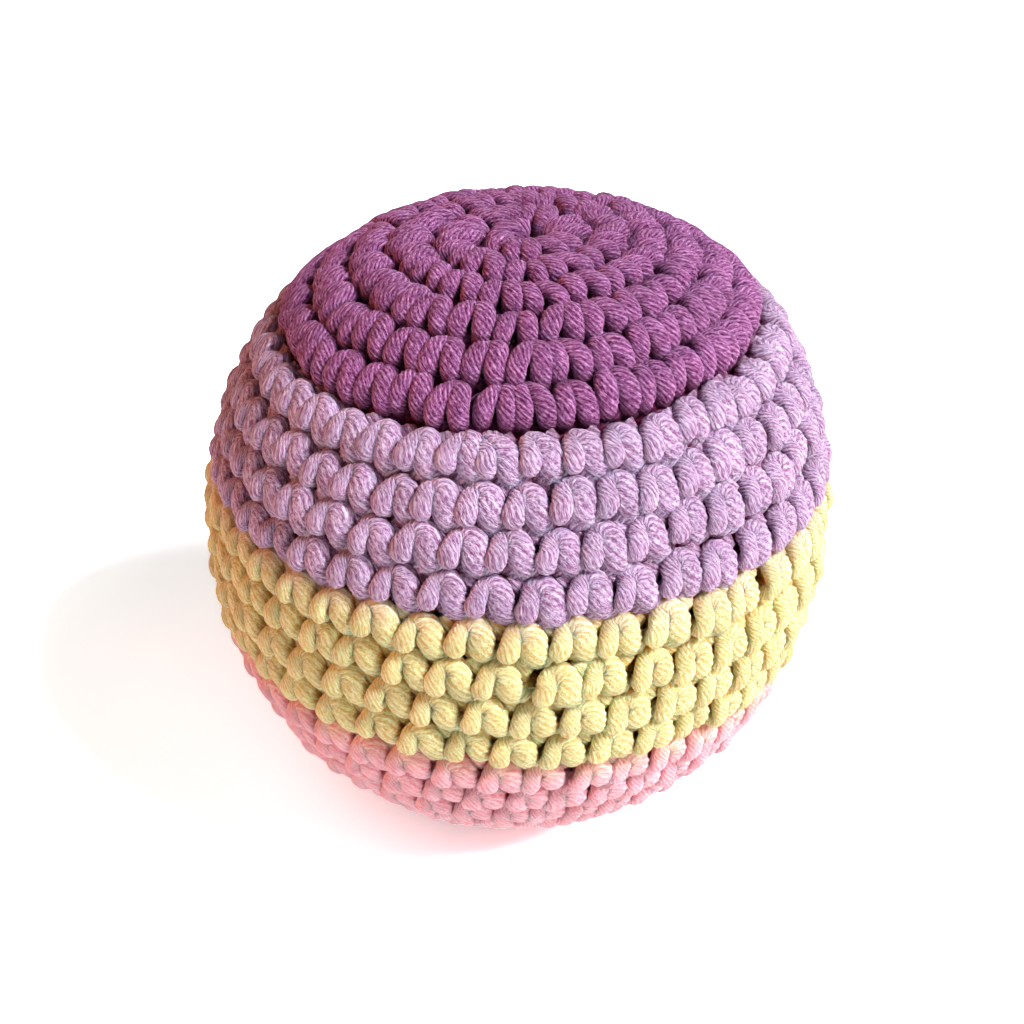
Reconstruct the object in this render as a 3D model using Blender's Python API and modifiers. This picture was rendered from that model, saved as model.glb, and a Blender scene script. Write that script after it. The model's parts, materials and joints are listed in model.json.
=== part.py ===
"""Crocheted footbag: four yarns worked in one spiral of single crochet round a tied liner full of pellets.

The ball stands on +Z. Its starting ring is at the top, and its drawn-up end is at the bottom, where the
bag rests on a small flat. Seen from above the work runs anticlockwise, and each round starts at the back,
at +Y. Lengths are in metres and angles in radians, unless a name says otherwise.
"""

import math

import bmesh
import bpy

# Driving sizes of the bag
BALL_WIDTH = 0.057
BALL_HEIGHT = 0.0593
REST_FLAT_DEPTH = 0.0005
FABRIC_THICKNESS = 0.0038
PIECE_GAP = 0.0003

# The crochet pattern: six more stitches in each round of the crown, even rounds, then six fewer
STITCHES_ADDED = 6
CROWN_ROUNDS = 6
EVEN_ROUNDS = 11
COLOUR_CHANGES = {1: "purple", 7: "lilac", 11: "yellow", 15: "pink"}

# One worked strip, as it lies in the wall
STITCH_CROWN_RISE = 0.0012
STITCH_PINCH_SHARE = 0.82
POLE_HOLE_RADIUS = 0.0012
FIRST_ROUND_START_SHARE = 0.4
COLUMNS_PER_STITCH = 2

# Yarn ends that lie inside the wall
TAIL_DIAMETER = 0.0015
TAIL_LENGTH = 0.018
TAIL_POINTS = 9
TAIL_TIP_SHARE = 0.6

# Starting ring and closing knot
RING_YARN_DIAMETER = 0.0011
RING_RADIUS = 0.0010
KNOT_STEM_RADIUS = 0.00085
KNOT_HEAD_RADIUS = 0.0015
KNOT_HEAD_HEIGHT = 0.0012

# Liner, its gathered neck and the thread that ties it
LINER_WALL = 0.0004
NECK_RADIUS = 0.0017
NECK_LENGTH = 0.0034
NECK_LIP = 0.0006
NECK_ROOM = 0.0022
DIMPLE_RADIUS = 0.0075
TIE_THREAD_DIAMETER = 0.0009
TIE_HEIGHT_SHARE = 0.45

# Pellet filling
PELLET_RELIEF = 0.0006
PELLET_SIZE = 0.0035

# How finely the turned pieces are faceted
TURN_STEPS = 24
WALL_PROFILE_STEPS = 13
DIMPLE_PROFILE_STEPS = 4
RING_TURN_STEPS = 16
RING_SECTION_STEPS = 8
KNOT_TURN_STEPS = 12
MERGE_DISTANCE = 0.00001
CUTTER_OVERRUN = 0.004
SMOOTH_ANGLE = math.radians(50)

# Finishes: colour as sRGB hex, and roughness
FINISHES = {
    "purple": ("94558A", 0.85),
    "lilac": ("C3A0C6", 0.85),
    "yellow": ("E2D392", 0.85),
    "pink": ("EEA5AE", 0.85),
    "liner_cloth": ("E8E4DC", 0.8),
    "tie_thread": ("C9BFAE", 0.7),
    "pellets": ("DADFE2", 0.45),
}

ROUNDS = 2 * CROWN_ROUNDS + EVEN_ROUNDS
WALL_A = BALL_WIDTH / 2 - STITCH_CROWN_RISE
WALL_B = BALL_HEIGHT / 2 - STITCH_CROWN_RISE
INNER_DEPTH = FABRIC_THICKNESS - STITCH_CROWN_RISE
CENTRE_HEIGHT = BALL_HEIGHT / 2 - REST_FLAT_DEPTH
HOLE_ANGLE = POLE_HOLE_RADIUS / WALL_A
ROUND_ANGLE = (math.pi - 2 * HOLE_ANGLE) / (ROUNDS - 1 + 2 * FIRST_ROUND_START_SHARE)


def stitches_in(number):
    """Stitches in this round, counted from the starting ring."""
    from_either_pole = min(number, ROUNDS + 1 - number)
    return STITCHES_ADDED * min(from_either_pole, CROWN_ROUNDS + 1)


def yarn_of(number):
    """Colour of the yarn that this round is worked in."""
    start = max(first for first in COLOUR_CHANGES if first <= number)
    return COLOUR_CHANGES[start]


def edge_angle(turns):
    """Angle from the top of the strip's lower edge after so many turns. Its upper edge lay there a turn ago."""
    start = HOLE_ANGLE + FIRST_ROUND_START_SHARE * ROUND_ANGLE
    if turns < 0:
        return start + FIRST_ROUND_START_SHARE * ROUND_ANGLE * turns
    if turns > ROUNDS - 1:
        return math.pi - HOLE_ANGLE - FIRST_ROUND_START_SHARE * ROUND_ANGLE * (ROUNDS - turns)
    return start + ROUND_ANGLE * turns


def on_wall(angle, turns, depth=0.0):
    """Point of the wall at this angle from the top, so many turns round from the back, and so deep in it."""
    round_angle = 2 * math.pi * turns
    out = (WALL_A - depth) * math.sin(angle)
    up = (WALL_B - depth) * math.cos(angle)
    return (-out * math.sin(round_angle), out * math.cos(round_angle), CENTRE_HEIGHT + up)


def wall_tilt(angle):
    """Turn of a strip's section that makes its crown face straight out of the wall."""
    return -math.atan2(math.cos(angle) / WALL_B, math.sin(angle) / WALL_A)


def half_height(turns):
    """Half the strip's height square to its run, less its share of the gap to the next round."""
    upper, lower = edge_angle(turns - 1), edge_angle(turns)
    middle = (upper + lower) / 2
    radius = math.hypot(WALL_A * math.cos(middle), WALL_B * math.sin(middle))
    fall = math.atan2(ROUND_ANGLE * radius, 2 * math.pi * WALL_A * math.sin(middle))
    return ((lower - upper) * radius * math.cos(fall) - PIECE_GAP) / 2


def linear(hex_colour):
    """An sRGB hex colour as linear RGBA."""
    channels = [int(hex_colour[i : i + 2], 16) / 255 for i in (0, 2, 4)]
    return [c / 12.92 if c <= 0.04045 else ((c + 0.055) / 1.055) ** 2.4 for c in channels] + [1.0]


def finish(name, label):
    """A material of its own for one piece, in one of the finishes."""
    hex_colour, roughness = FINISHES[name]
    material = bpy.data.materials.new(label)
    material.use_nodes = True
    shader = material.node_tree.nodes["Principled BSDF"]
    shader.inputs["Base Color"].default_value = linear(hex_colour)
    shader.inputs["Roughness"].default_value = roughness
    shader.inputs["Metallic"].default_value = 0.0
    material.diffuse_color = linear(hex_colour)
    return material


def add_object(name, data, collection, finish_name=None):
    """Links new data to the scene as a named object, with its own material."""
    obj = bpy.data.objects.new(name, data)
    collection.objects.link(obj)
    if finish_name:
        data.materials.append(finish(finish_name, name + "_finish"))
    return obj


def add_guide(name, data, collection):
    """A cutter or a section, which is no part of the bag."""
    obj = add_object(name, data, collection)
    obj.hide_render = True
    obj.display_type = "WIRE"
    return obj


def poly_curve(name, points, cyclic=False):
    """A curve of straight pieces through (point, radius share, tilt) rows."""
    curve = bpy.data.curves.new(name, "CURVE")
    curve.dimensions = "3D"
    curve.twist_mode = "Z_UP"
    spline = curve.splines.new("POLY")
    spline.points.add(len(points) - 1)
    for slot, (point, share, tilt) in zip(spline.points, points):
        slot.co = (*point, 1.0)
        slot.radius = share
        slot.tilt = tilt
    spline.use_cyclic_u = cyclic
    return curve


def strip_section(collection):
    """The strip's section at its full height: crown, shoulder, inner ridge and shoulder."""
    height = half_height(ROUNDS / 2)
    corners = ((STITCH_CROWN_RISE, 0), (0, height), (-INNER_DEPTH, 0), (0, -height))
    curve = poly_curve("strip_section", [((x, y, 0), 1.0, 0.0) for x, y in corners], cyclic=True)
    curve.dimensions = "2D"
    return add_guide("strip_section", curve, collection)


def strip_point(turns, stitch_share):
    """A row of a round's path: its point on the wall, the strip's size there and its tilt."""
    middle = (edge_angle(turns - 1) + edge_angle(turns)) / 2
    share = half_height(turns) / half_height(ROUNDS / 2) * stitch_share
    return (on_wall(middle, turns), share, wall_tilt(middle))


def round_points(number):
    """The path of one round: a point on and between its stitches, and two at each end to square it off."""
    columns = stitches_in(number) * COLUMNS_PER_STITCH
    ends = []
    for turns in (number - 1, number):
        middle = (edge_angle(turns - 1) + edge_angle(turns)) / 2
        ends.append(PIECE_GAP / 2 / (2 * math.pi * WALL_A * math.sin(middle)))
    start, stop = number - 1 + ends[0], number - ends[1]
    points = [strip_point(start, STITCH_PINCH_SHARE), strip_point(start + ends[0], STITCH_PINCH_SHARE)]
    for column in range(1, columns):
        on_stitch = column % COLUMNS_PER_STITCH
        share = 1.0 if on_stitch else STITCH_PINCH_SHARE
        points.append(strip_point(number - 1 + column / columns, share))
    points += [strip_point(stop - ends[1], STITCH_PINCH_SHARE), strip_point(stop, STITCH_PINCH_SHARE)]
    return points


def as_mesh(obj):
    """The same object with its curve made a closed mesh, so that it can be cut."""
    graph = bpy.context.evaluated_depsgraph_get()
    mesh = bpy.data.meshes.new_from_object(obj.evaluated_get(graph))
    shape = bmesh.new()
    shape.from_mesh(mesh)
    bmesh.ops.remove_doubles(shape, verts=shape.verts, dist=MERGE_DISTANCE)
    bmesh.ops.recalc_face_normals(shape, faces=shape.faces)
    shape.to_mesh(mesh)
    shape.free()
    mesh.shade_smooth()
    mesh.set_sharp_from_angle(angle=SMOOTH_ANGLE)
    name, collection, place = obj.name, obj.users_collection[0], obj.matrix_world.copy()
    bpy.data.objects.remove(obj)
    solid = bpy.data.objects.new(name, mesh)
    solid.matrix_world = place
    collection.objects.link(solid)
    return solid


def cut(obj, cutter):
    """Cuts one object with another."""
    modifier = obj.modifiers.new("cut_" + cutter.name, "BOOLEAN")
    modifier.operation = "DIFFERENCE"
    modifier.solver = "EXACT"
    modifier.object = cutter


def floor_cutter(collection):
    """A slab whose top is the plane that the bag rests on."""
    mesh = bpy.data.meshes.new("floor_cutter")
    shape = bmesh.new()
    bmesh.ops.create_cube(shape, size=1.0)
    slab = (BALL_WIDTH, BALL_WIDTH, CUTTER_OVERRUN)
    bmesh.ops.scale(shape, vec=slab, verts=shape.verts)
    bmesh.ops.translate(shape, vec=(0, 0, -CUTTER_OVERRUN / 2), verts=shape.verts)
    shape.to_mesh(mesh)
    shape.free()
    return add_guide("floor_cutter", mesh, collection)


def add_round(number, section, cutter, parts):
    """One crocheted round: a strip that is pinched between its stitches, cut flat where the bag rests."""
    yarn = yarn_of(number)
    first = max(start for start in COLOUR_CHANGES if start <= number)
    curve = poly_curve(f"{yarn}_round_{number - first + 1}", round_points(number))
    curve.bevel_mode = "OBJECT"
    curve.bevel_object = section
    curve.use_fill_caps = True
    strip = as_mesh(add_object(curve.name, curve, parts, yarn))
    lowest = min(point[2] for point, _, _ in round_points(number))
    if lowest < STITCH_CROWN_RISE + PIECE_GAP:
        cut(strip, cutter)


def add_join_tail(number, parts):
    """The knotted yarn ends of one colour change, which lie in the groove inside the wall."""
    before, after = yarn_of(number - 1), yarn_of(number)
    depth = INNER_DEPTH - TAIL_DIAMETER / 2
    groove = edge_angle(number - 1)
    reach = TAIL_LENGTH / (2 * math.pi * (WALL_A - depth) * math.sin(groove))
    points = []
    for step in range(TAIL_POINTS):
        along = 2 * step / (TAIL_POINTS - 1) - 1
        turns = number - 1 + along * reach / 2
        share = 1.0 - (1.0 - TAIL_TIP_SHARE) * along * along
        points.append((on_wall(edge_angle(turns), turns, depth), share, 0.0))
    curve = poly_curve(f"{before}_{after}_join_tail", points)
    curve.bevel_depth = TAIL_DIAMETER / 2
    curve.bevel_resolution = 2
    curve.use_fill_caps = True
    add_object(curve.name, curve, parts, after)


def add_torus(name, ring_radius, yarn_radius, height, finish_name, parts):
    """A closed ring of yarn or thread round the bag's axis."""
    steps = [2 * math.pi * i / RING_TURN_STEPS for i in range(RING_TURN_STEPS)]
    points = [((ring_radius * math.cos(a), ring_radius * math.sin(a), height), 1.0, 0.0) for a in steps]
    curve = poly_curve(name, points, cyclic=True)
    curve.bevel_depth = yarn_radius
    curve.bevel_resolution = RING_SECTION_STEPS // 4
    add_object(name, curve, parts, finish_name)


def turned(name, profile, steps, finish_name, parts):
    """A piece turned from (radius, height) points that run down its outer side from the top."""
    mesh = bpy.data.meshes.new(name)
    shape = bmesh.new()
    corners = [shape.verts.new((radius, 0, height)) for radius, height in profile]
    for first, second in zip(corners, corners[1:]):
        shape.edges.new((first, second))
    shape.to_mesh(mesh)
    shape.free()
    obj = add_object(name, mesh, parts, finish_name)
    screw = obj.modifiers.new("turn", "SCREW")
    screw.steps = steps
    screw.render_steps = steps
    screw.use_merge_vertices = True
    screw.merge_threshold = MERGE_DISTANCE
    screw.use_smooth_shade = True
    return obj


def drawn_in_profile(inset, dimple_radius, top_radius, top_height):
    """Points down the inside of the wall, then up into the dimple that the neck hangs in."""
    across, upright = BALL_WIDTH / 2 - inset, BALL_HEIGHT / 2 - inset
    last = math.pi - math.asin(dimple_radius / across)
    points = []
    for step in range(WALL_PROFILE_STEPS + 1):
        angle = last * step / WALL_PROFILE_STEPS
        points.append((across * math.sin(angle), CENTRE_HEIGHT + upright * math.cos(angle)))
    points[0] = (0.0, points[0][1])
    low_radius, low_height = points[-1]
    for step in range(1, DIMPLE_PROFILE_STEPS + 1):
        along = step / DIMPLE_PROFILE_STEPS
        rise = (1 - math.cos(math.pi * along)) / 2
        radius = low_radius + (top_radius - low_radius) * along
        points.append((radius, low_height + (top_height - low_height) * rise))
    return points


def neck_top():
    """Height at which the liner's neck leaves its body, clear of the closing knot below it."""
    knot_top = STITCH_CROWN_RISE - REST_FLAT_DEPTH + INNER_DEPTH
    return knot_top + NECK_ROOM + NECK_LENGTH


def add_liner(parts):
    """A thin cloth bag, drawn in at the bottom to a neck that stays open a little inside its tie."""
    inset = FABRIC_THICKNESS + PIECE_GAP
    profile = drawn_in_profile(inset, DIMPLE_RADIUS, NECK_RADIUS, neck_top())
    profile.append((NECK_RADIUS, neck_top() - NECK_LENGTH + NECK_LIP))
    profile.append((NECK_RADIUS + NECK_LIP, neck_top() - NECK_LENGTH))
    liner = turned("liner_bag", profile, TURN_STEPS, "liner_cloth", parts)
    wall = liner.modifiers.new("wall", "SOLIDIFY")
    wall.thickness = LINER_WALL
    wall.offset = -1
    tie_radius = NECK_RADIUS + PIECE_GAP + TIE_THREAD_DIAMETER / 2
    tie_height = neck_top() - NECK_LENGTH * TIE_HEIGHT_SHARE
    add_torus("liner_tie", tie_radius, TIE_THREAD_DIAMETER / 2, tie_height, "tie_thread", parts)


def add_filling(parts):
    """The pellets as one lumpy body that fills the liner."""
    inset = FABRIC_THICKNESS + LINER_WALL + 2 * PIECE_GAP
    dimple = DIMPLE_RADIUS + LINER_WALL + PIECE_GAP
    top = neck_top() + 2 * LINER_WALL + PIECE_GAP
    profile = drawn_in_profile(inset, dimple, NECK_RADIUS, top)
    profile.append((0.0, top))
    filling = turned("pellet_filling", profile, TURN_STEPS, "pellets", parts)
    lumps = bpy.data.textures.new("pellet_lumps", "VORONOI")
    lumps.noise_scale = PELLET_SIZE
    relief = filling.modifiers.new("lumps", "DISPLACE")
    relief.texture = lumps
    relief.texture_coords = "LOCAL"
    relief.strength = PELLET_RELIEF
    relief.mid_level = 1.0


def add_closing_knot(parts):
    """The last yarn end, drawn through the final stitches and knotted inside them."""
    head_bottom = STITCH_CROWN_RISE - REST_FLAT_DEPTH + INNER_DEPTH - KNOT_HEAD_HEIGHT
    head_middle = head_bottom + KNOT_HEAD_HEIGHT / 2
    head_top = head_bottom + KNOT_HEAD_HEIGHT
    profile = (
        (0.0, head_top),
        (KNOT_STEM_RADIUS, head_top),
        (KNOT_HEAD_RADIUS, head_middle),
        (KNOT_STEM_RADIUS, head_bottom),
        (KNOT_STEM_RADIUS, 0.0),
        (0.0, 0.0),
    )
    turned("closing_knot", profile, KNOT_TURN_STEPS, "pink", parts)


def new_collection(name, hidden=False):
    """A collection in the scene."""
    collection = bpy.data.collections.new(name)
    collection.hide_render = hidden
    bpy.context.scene.collection.children.link(collection)
    return collection


def main():
    """Builds the whole bag."""
    for obj in list(bpy.data.objects):
        bpy.data.objects.remove(obj)
    parts = new_collection("footbag")
    guides = new_collection("cutters_and_sections", hidden=True)
    section = strip_section(guides)
    cutter = floor_cutter(guides)
    for number in range(1, ROUNDS + 1):
        add_round(number, section, cutter, parts)
    for number in list(COLOUR_CHANGES)[1:]:
        add_join_tail(number, parts)
    ring_yarn = RING_YARN_DIAMETER / 2
    ring_height = CENTRE_HEIGHT + WALL_B - INNER_DEPTH + ring_yarn
    add_torus("starting_ring", RING_RADIUS, ring_yarn, ring_height, "purple", parts)
    add_closing_knot(parts)
    add_liner(parts)
    add_filling(parts)


main()
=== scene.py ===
"""Looks of the crocheted footbag: each yarn worked stitch by stitch round a tied liner full of pellets.

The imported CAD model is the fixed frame, and every piece here stands in the place of a CAD node of its own
name. Lengths are in metres and angles in radians, unless a name says otherwise. A place in the crochet is
given by turns round the bag from the back, rows down the spiral, and depth into the wall.
"""

import json
import logging
import math
import random
from collections.abc import Iterable
from dataclasses import dataclass, field
from enum import Enum

import bmesh
import bpy
import numpy as np
from bpy.types import Collection, Curve, Material, Mesh, NodeSocket, NodeTree, Object
from mathutils import Euler, Matrix, Vector

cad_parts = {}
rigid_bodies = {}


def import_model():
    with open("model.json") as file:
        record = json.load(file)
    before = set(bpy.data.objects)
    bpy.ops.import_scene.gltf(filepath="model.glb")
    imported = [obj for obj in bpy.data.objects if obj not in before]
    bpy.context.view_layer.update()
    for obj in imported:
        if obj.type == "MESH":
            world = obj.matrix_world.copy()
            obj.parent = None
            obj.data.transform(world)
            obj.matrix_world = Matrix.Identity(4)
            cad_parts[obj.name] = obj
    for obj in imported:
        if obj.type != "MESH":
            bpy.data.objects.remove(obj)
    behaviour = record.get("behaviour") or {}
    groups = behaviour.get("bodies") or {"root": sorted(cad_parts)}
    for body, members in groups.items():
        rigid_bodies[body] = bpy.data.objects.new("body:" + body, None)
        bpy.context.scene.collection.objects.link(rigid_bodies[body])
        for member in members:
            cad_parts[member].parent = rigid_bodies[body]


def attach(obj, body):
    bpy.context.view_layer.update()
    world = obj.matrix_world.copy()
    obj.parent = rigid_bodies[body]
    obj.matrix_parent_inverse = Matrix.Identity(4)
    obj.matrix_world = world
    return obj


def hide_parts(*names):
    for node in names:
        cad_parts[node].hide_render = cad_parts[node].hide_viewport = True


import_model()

logging.basicConfig(level=logging.INFO, format="%(name)s: %(message)s")
log = logging.getLogger("footbag")

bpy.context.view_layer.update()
BODY = "root"
DRESSED = "dressed_"
MM = 0.001
FULL_TURN = 2 * math.pi
MERGE_DISTANCE = 0.00001

# A colour mix has sockets of the same names for its other kinds, so its own are told apart by number
MIX_SHARE, MIX_FIRST, MIX_SECOND, MIXED = 0, 6, 7, 2

# Nearly all of a noise texture's values lie between these
NOISE_LOW, NOISE_HIGH = 0.3, 0.7

# Bands that a wave texture draws in one unit of length at a scale of 1
WAVE_BANDS = 20 / FULL_TURN


def linear(hex_colour: str) -> tuple:
    """An sRGB hex colour as linear RGBA."""
    channels = [int(hex_colour[i : i + 2], 16) / 255 for i in (0, 2, 4)]
    return tuple(c / 12.92 if c <= 0.04045 else ((c + 0.055) / 1.055) ** 2.4 for c in channels) + (1.0,)


@dataclass(frozen=True)
class Ramp:
    """The stops of a colour ramp, each a position and a linear RGBA colour."""

    stops: tuple
    easing: str = "LINEAR"

    @classmethod
    def of_values(cls, stops: Iterable) -> "Ramp":
        """A ramp through (position, value) stops, eased between them."""
        return cls(tuple((position, (value, value, value, 1.0)) for position, value in stops), "EASE")

    def fill(self, ramp: bpy.types.ColorRamp) -> None:
        """Gives a new node's ramp these stops.

        Args:
            ramp: The ramp, with the two stops that it starts with.
        """
        for _ in self.stops[2:]:
            ramp.elements.new(0.5)
        for element, (position, colour) in zip(ramp.elements, self.stops):
            element.position = position
            element.color = colour
        ramp.interpolation = self.easing


def add_node(
    tree: NodeTree, kind: str, settings: dict, links: dict | None = None, out: int | str = 0
) -> NodeSocket:
    """Adds a node.

    Args:
        tree: The node tree.
        kind: Blender's name of the node's type, after ShaderNode.
        settings: Values by the name of an attribute, or by the name or number of an input.
        links: Output sockets by the name or number of the input they go to.
        out: The name or number of the output that is used.

    Returns:
        That output's socket.
    """
    node = tree.nodes.new("ShaderNode" + kind)
    for name, value in settings.items():
        if isinstance(value, Ramp):
            value.fill(getattr(node, name))
        elif isinstance(name, str) and hasattr(node, name):
            setattr(node, name, value)
        else:
            node.inputs[name].default_value = value
    for name, socket in (links or {}).items():
        tree.links.new(socket, node.inputs[name])
    return node.outputs[out]


@dataclass(frozen=True)
class Finish:
    """A finish, under the real material's name."""

    name: str

    def start(self, values: dict) -> tuple:
        """A new material for this finish.

        Args:
            values: The shader's values, by the names of their sockets.

        Returns:
            The material, its node tree and its shader.
        """
        material = bpy.data.materials.new(self.name)
        material.use_nodes = True
        tree = material.node_tree
        shader = tree.nodes["Principled BSDF"]
        for name, value in values.items():
            shader.inputs[name].default_value = value
        return material, tree, shader


@dataclass(frozen=True)
class YarnFinish(Finish):
    """Soft cotton and acrylic yarn in one dye: matt, with a lit nap on its plies and dark depths.

    The eye sees thin slanting plies, with painted shade in their grooves and a painted highlight on each
    ridge broken by tufts of paler fibre, and between stitches dark gaps of the same hue, painted shade that
    deepens inward.
    """

    colour: str
    # The painted shade of the ply grooves and the painted highlight of the ply ridges
    shade: str
    pale: str
    # The painted shade colour of the gaps between stitches, reached with depth into the wall
    deep: str
    edge: str = ""
    edge_rows: tuple = (0.15, 0.85)
    roughness: float = 0.9
    specular: float = 0.15
    sheen: float = 0.1
    sheen_roughness: float = 0.5
    scatter: float = 0.55
    scatter_reach: float = 0.7 * MM
    scatter_tint: tuple = (1.0, 0.55, 0.5)
    # A fibre is about 0.02 mm wide, too fine to show: these are tufts of fibres, drawn as coarse as shows
    fibre_width: float = 0.12 * MM
    fibre_length: float = 0.14 * MM
    fibre_slant: float = 0.35
    fibre_spread: float = 0.27
    lock_width: float = 0.30 * MM
    lock_length: float = 0.36 * MM
    lock_spread: float = 0.16
    ridge_range: tuple = (0.31, 0.60)
    # Heights at which the painted groove shade, the dye and the painted ridge highlight lie
    nap_stops: tuple = (0.22, 0.55, 0.85)
    nap_strength: float = 0.7
    nap_rise: float = 0.15 * MM
    dye_patch: float = 3.0 * MM
    dye_range: tuple = (0.86, 1.06)
    # How the painted shade of the gaps grows with depth into the wall, and how much sooner it starts
    hidden_stops: tuple = ((0.46, 0.0), (0.68, 0.45), (0.92, 1.0))
    hidden_sooner: float = 0.0

    def material(self) -> Material:
        """The yarn's material, from its nap with painted ply shade and highlights, its dye, its edge and the
        painted shade of its depths.

        Returns:
            The material.
        """
        values = {
            "Roughness": self.roughness,
            "Specular IOR Level": self.specular,
            "Sheen Weight": self.sheen,
            "Sheen Roughness": self.sheen_roughness,
            "Sheen Tint": linear(self.pale),
            "Subsurface Weight": self.scatter,
            "Subsurface Radius": self.scatter_tint,
            "Subsurface Scale": self.scatter_reach,
        }
        material, tree, shader = self.start(values)
        height = self.fibre_height(tree)
        tones = (linear(tone) for tone in (self.shade, self.colour, self.pale))
        # Painted shade in the ply grooves and a painted highlight on the ply ridges, broken by random fibre
        # tufts
        nap = Ramp(tuple(zip(self.nap_stops, tones)))
        ply_lit_and_shaded = add_node(tree, "ValToRGB", {"color_ramp": nap}, {"Fac": height})
        patched = {0: ply_lit_and_shaded, "Scale": self.dye_tone(tree)}
        dyed = self.with_edge(tree, add_node(tree, "VectorMath", {"operation": "SCALE"}, patched))
        # Painted shade: the deeper the yarn lies in the wall, the nearer its colour comes to the gap's
        # painted shade
        depth = add_node(tree, "Attribute", {"attribute_name": "pile_depth"}, out="Fac")
        painted_shade_ramp = Ramp.of_values((at - self.hidden_sooner, share) for at, share in self.hidden_stops)
        hidden = add_node(tree, "ValToRGB", {"color_ramp": painted_shade_ramp}, {"Fac": depth})
        deep = {"data_type": "RGBA", MIX_SECOND: linear(self.deep)}
        colour = add_node(tree, "Mix", deep, {MIX_SHARE: hidden, MIX_FIRST: dyed}, MIXED)
        tree.links.new(colour, shader.inputs["Base Color"])
        rise = {"Strength": self.nap_strength, "Distance": self.nap_rise}
        tree.links.new(add_node(tree, "Bump", rise, {"Height": height}), shader.inputs["Normal"])
        return material

    def nap_noise(self, tree: NodeTree, width: float, length: float, spread: float) -> NodeSocket:
        """Noise that follows the plies.

        Args:
            tree: The node tree.
            width: How far one tuft reaches across the plies.
            length: How far it reaches along them.
            spread: How much it adds or takes away at most.

        Returns:
            The socket of its value.
        """
        place = add_node(tree, "Attribute", {"attribute_name": "yarn_place"}, out="Vector")
        tuft = {"Rotation": (self.fibre_slant, 0.0, 0.0), "Scale": (1 / width, 1 / width, 1 / length)}
        stretched = add_node(tree, "Mapping", tuft, {"Vector": place})
        grain = {"Scale": 1.0, "Detail": 2.0, "Roughness": 0.55}
        noise = add_node(tree, "TexNoise", grain, {"Vector": stretched})
        span = {"From Min": NOISE_LOW, "From Max": NOISE_HIGH, "To Min": -spread, "To Max": spread}
        return add_node(tree, "MapRange", {"clamp": False, **span}, {"Value": noise})

    def fibre_height(self, tree: NodeTree) -> NodeSocket:
        """How high the nap stands: the ply's own ridge, broken into locks and then into fibres.

        Args:
            tree: The node tree.

        Returns:
            The socket of the height.
        """
        ridge = add_node(tree, "Attribute", {"attribute_name": "ply_height"}, out="Fac")
        low, high = self.ridge_range
        total = add_node(tree, "MapRange", {"To Min": low, "To Max": high}, {"Value": ridge})
        locks = self.nap_noise(tree, self.lock_width, self.lock_length, self.lock_spread)
        fibres = self.nap_noise(tree, self.fibre_width, self.fibre_length, self.fibre_spread)
        for tufts in (locks, fibres):
            total = add_node(tree, "Math", {"operation": "ADD"}, {0: total, 1: tufts})
        return total

    def dye_tone(self, tree: NodeTree) -> NodeSocket:
        """How much lighter or darker the dye is from patch to patch.

        Args:
            tree: The node tree.

        Returns:
            The socket of the tone, about 1.
        """
        place = add_node(tree, "TexCoord", {}, out="Object")
        patches = add_node(tree, "TexNoise", {"Scale": 1 / self.dye_patch, "Detail": 2.0}, {"Vector": place})
        tones = Ramp.of_values(zip((NOISE_LOW, NOISE_HIGH), self.dye_range))
        return add_node(tree, "ValToRGB", {"color_ramp": tones}, {"Fac": patches})

    def with_edge(self, tree: NodeTree, dyed: NodeSocket) -> NodeSocket:
        """The dyed colour, tinted in the first row where the yarn starts from another colour.

        Args:
            tree: The node tree.
            dyed: The socket of the dyed colour.

        Returns:
            The socket of the tinted colour.
        """
        if not self.edge:
            return dyed
        rows = add_node(tree, "Attribute", {"attribute_name": "rows_in"}, out="Fac")
        fading = Ramp.of_values(zip(self.edge_rows, (1.0, 0.0)))
        fade = add_node(tree, "ValToRGB", {"color_ramp": fading}, {"Fac": rows})
        tint = tuple(e / c for e, c in zip(linear(self.edge), linear(self.colour)))
        ends = {"data_type": "RGBA", MIX_FIRST: (1.0, 1.0, 1.0, 1.0), MIX_SECOND: tint}
        tinted = add_node(tree, "Mix", ends, {MIX_SHARE: fade}, MIXED)
        return add_node(tree, "VectorMath", {"operation": "MULTIPLY"}, {0: dyed, 1: tinted})


@dataclass(frozen=True)
class MottledFinish(Finish):
    """A finish whose tone wanders a little from patch to patch.

    On waxed cotton thread the eye sees a dull gloss over darker and paler fibres. On moulded pellets it sees
    milky, half clear and slightly glossy plastic, each pellet a little unlike the next.
    """

    shade: str
    pale: str
    patch: float
    values: dict
    strength: float = 0.5
    rise: float = 0.0

    def share(self, tree: NodeTree) -> NodeSocket:
        """The socket of how much of the paler tone shows."""
        place = add_node(tree, "TexCoord", {}, out="Object")
        return add_node(tree, "TexNoise", {"Scale": 1 / self.patch, "Detail": 2.0}, {"Vector": place})

    def material(self) -> Material:
        """The material, raised where its paler tone shows if it has a rise.

        Returns:
            The material.
        """
        material, tree, shader = self.start(self.values)
        share = self.share(tree)
        tones = {"data_type": "RGBA", MIX_FIRST: linear(self.shade), MIX_SECOND: linear(self.pale)}
        colour = add_node(tree, "Mix", tones, {MIX_SHARE: share}, MIXED)
        tree.links.new(colour, shader.inputs["Base Color"])
        if self.rise:
            rise = {"Strength": self.strength, "Distance": self.rise}
            tree.links.new(add_node(tree, "Bump", rise, {"Height": share}), shader.inputs["Normal"])
        return material


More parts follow.
